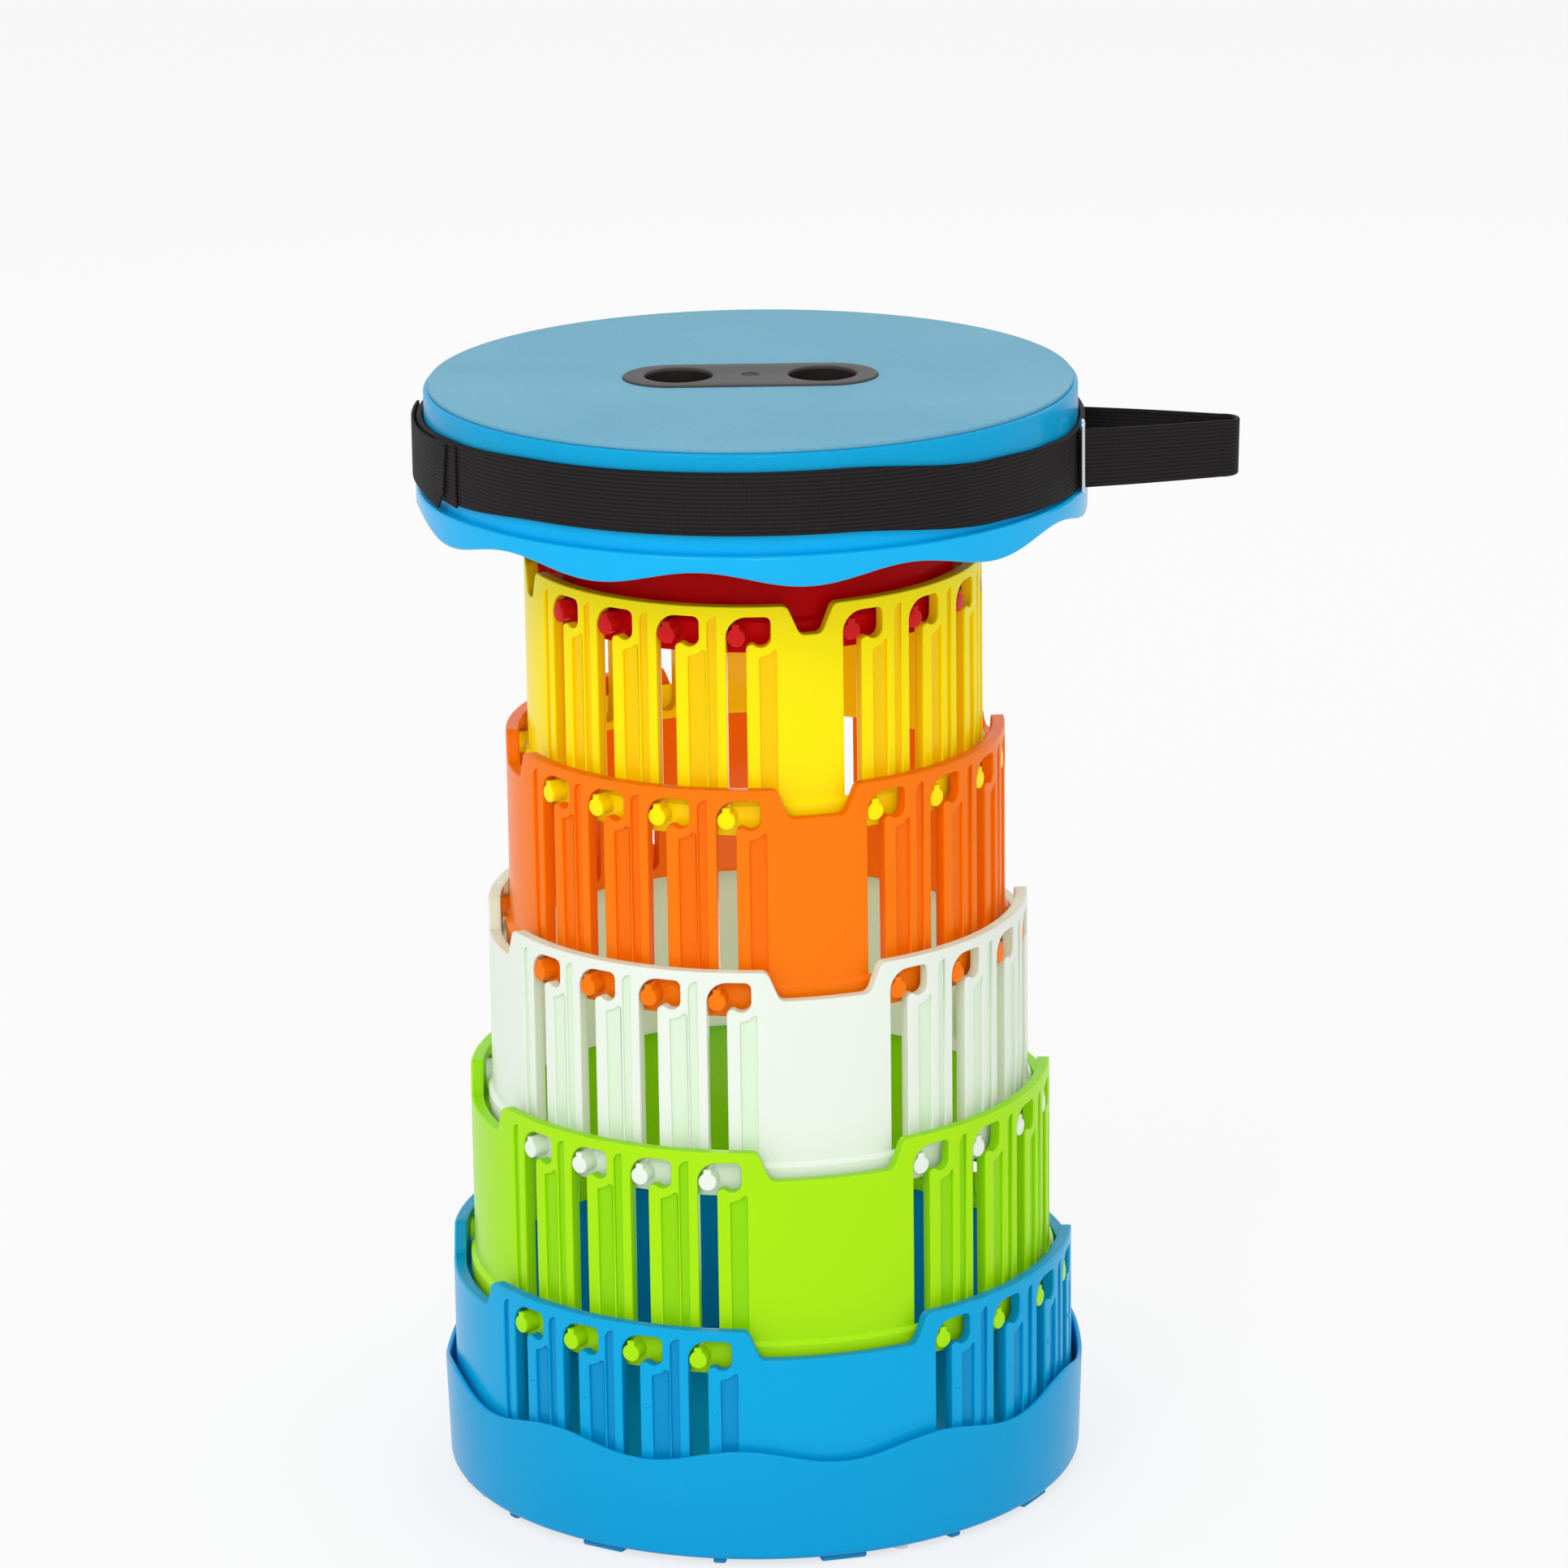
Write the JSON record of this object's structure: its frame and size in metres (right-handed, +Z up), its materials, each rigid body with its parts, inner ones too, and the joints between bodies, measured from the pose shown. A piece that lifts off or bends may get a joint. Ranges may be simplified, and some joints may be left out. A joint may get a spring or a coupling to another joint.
{
  "type": "telescopic stool",
  "caption": "Round retractable stool: slotted coloured rings slide into one another under a seat with finger holes, a grip mat and a carry strap with a loop.",
  "frame": {"origin": "on the floor at the stool's axis, in the plane of the foot ring's underside", "axes": "+Z up along the stool's axis, front towards -Y, carry loop towards +X"},
  "size_m": [0.3174, 0.2586, 0.44],
  "materials": {
    "cover_blue": "gloss",
    "ring_blue": "gloss",
    "plate_blue": "satin",
    "foot_dark": "matte",
    "screw_steel": "brushed",
    "ring_green": "gloss",
    "ring_white": "gloss",
    "ring_orange": "gloss",
    "ring_yellow": "gloss",
    "ring_red": "gloss",
    "seat_blue": "gloss",
    "skirt_blue": "gloss",
    "mat_blue": "matte",
    "insert_grey": "matte",
    "screw_dark": "brushed",
    "webbing_black": "woven",
    "wire_steel": "polished"
  },
  "bodies": {
    "base": {"base_cover": "cover_blue", "base_ring": "ring_blue", "base_plate": "plate_blue", "foot_ring": "foot_dark", "base_screws": "screw_steel"},
    "green": {"green_ring": "ring_green"},
    "white": {"white_ring": "ring_white"},
    "orange": {"orange_ring": "ring_orange"},
    "yellow": {"yellow_ring": "ring_yellow"},
    "seat": {"red_ring": "ring_red", "seat_shell": "seat_blue", "seat_skirt": "skirt_blue", "seat_mat": "mat_blue", "handle_insert": "insert_grey", "handle_screw": "screw_dark", "seat_screws": "screw_steel", "strap_band": "webbing_black", "strap_loop": "webbing_black", "strap_end_tab": "webbing_black", "strap_ring": "wire_steel"}
  },
  "joints": [
    {"name": "green_slide", "type": "slide", "parent": "base", "child": "green", "axis": [0, 0, 1], "range_m": [-0.069, 0]},
    {"name": "white_slide", "type": "slide", "parent": "green", "child": "white", "axis": [0, 0, 1], "range_m": [-0.069, 0]},
    {"name": "orange_slide", "type": "slide", "parent": "white", "child": "orange", "axis": [0, 0, 1], "range_m": [-0.069, 0]},
    {"name": "yellow_slide", "type": "slide", "parent": "orange", "child": "yellow", "axis": [0, 0, 1], "range_m": [-0.069, 0]},
    {"name": "seat_slide", "type": "slide", "parent": "yellow", "child": "seat", "axis": [0, 0, 1], "range_m": [-0.0617, 0]}
  ]
}
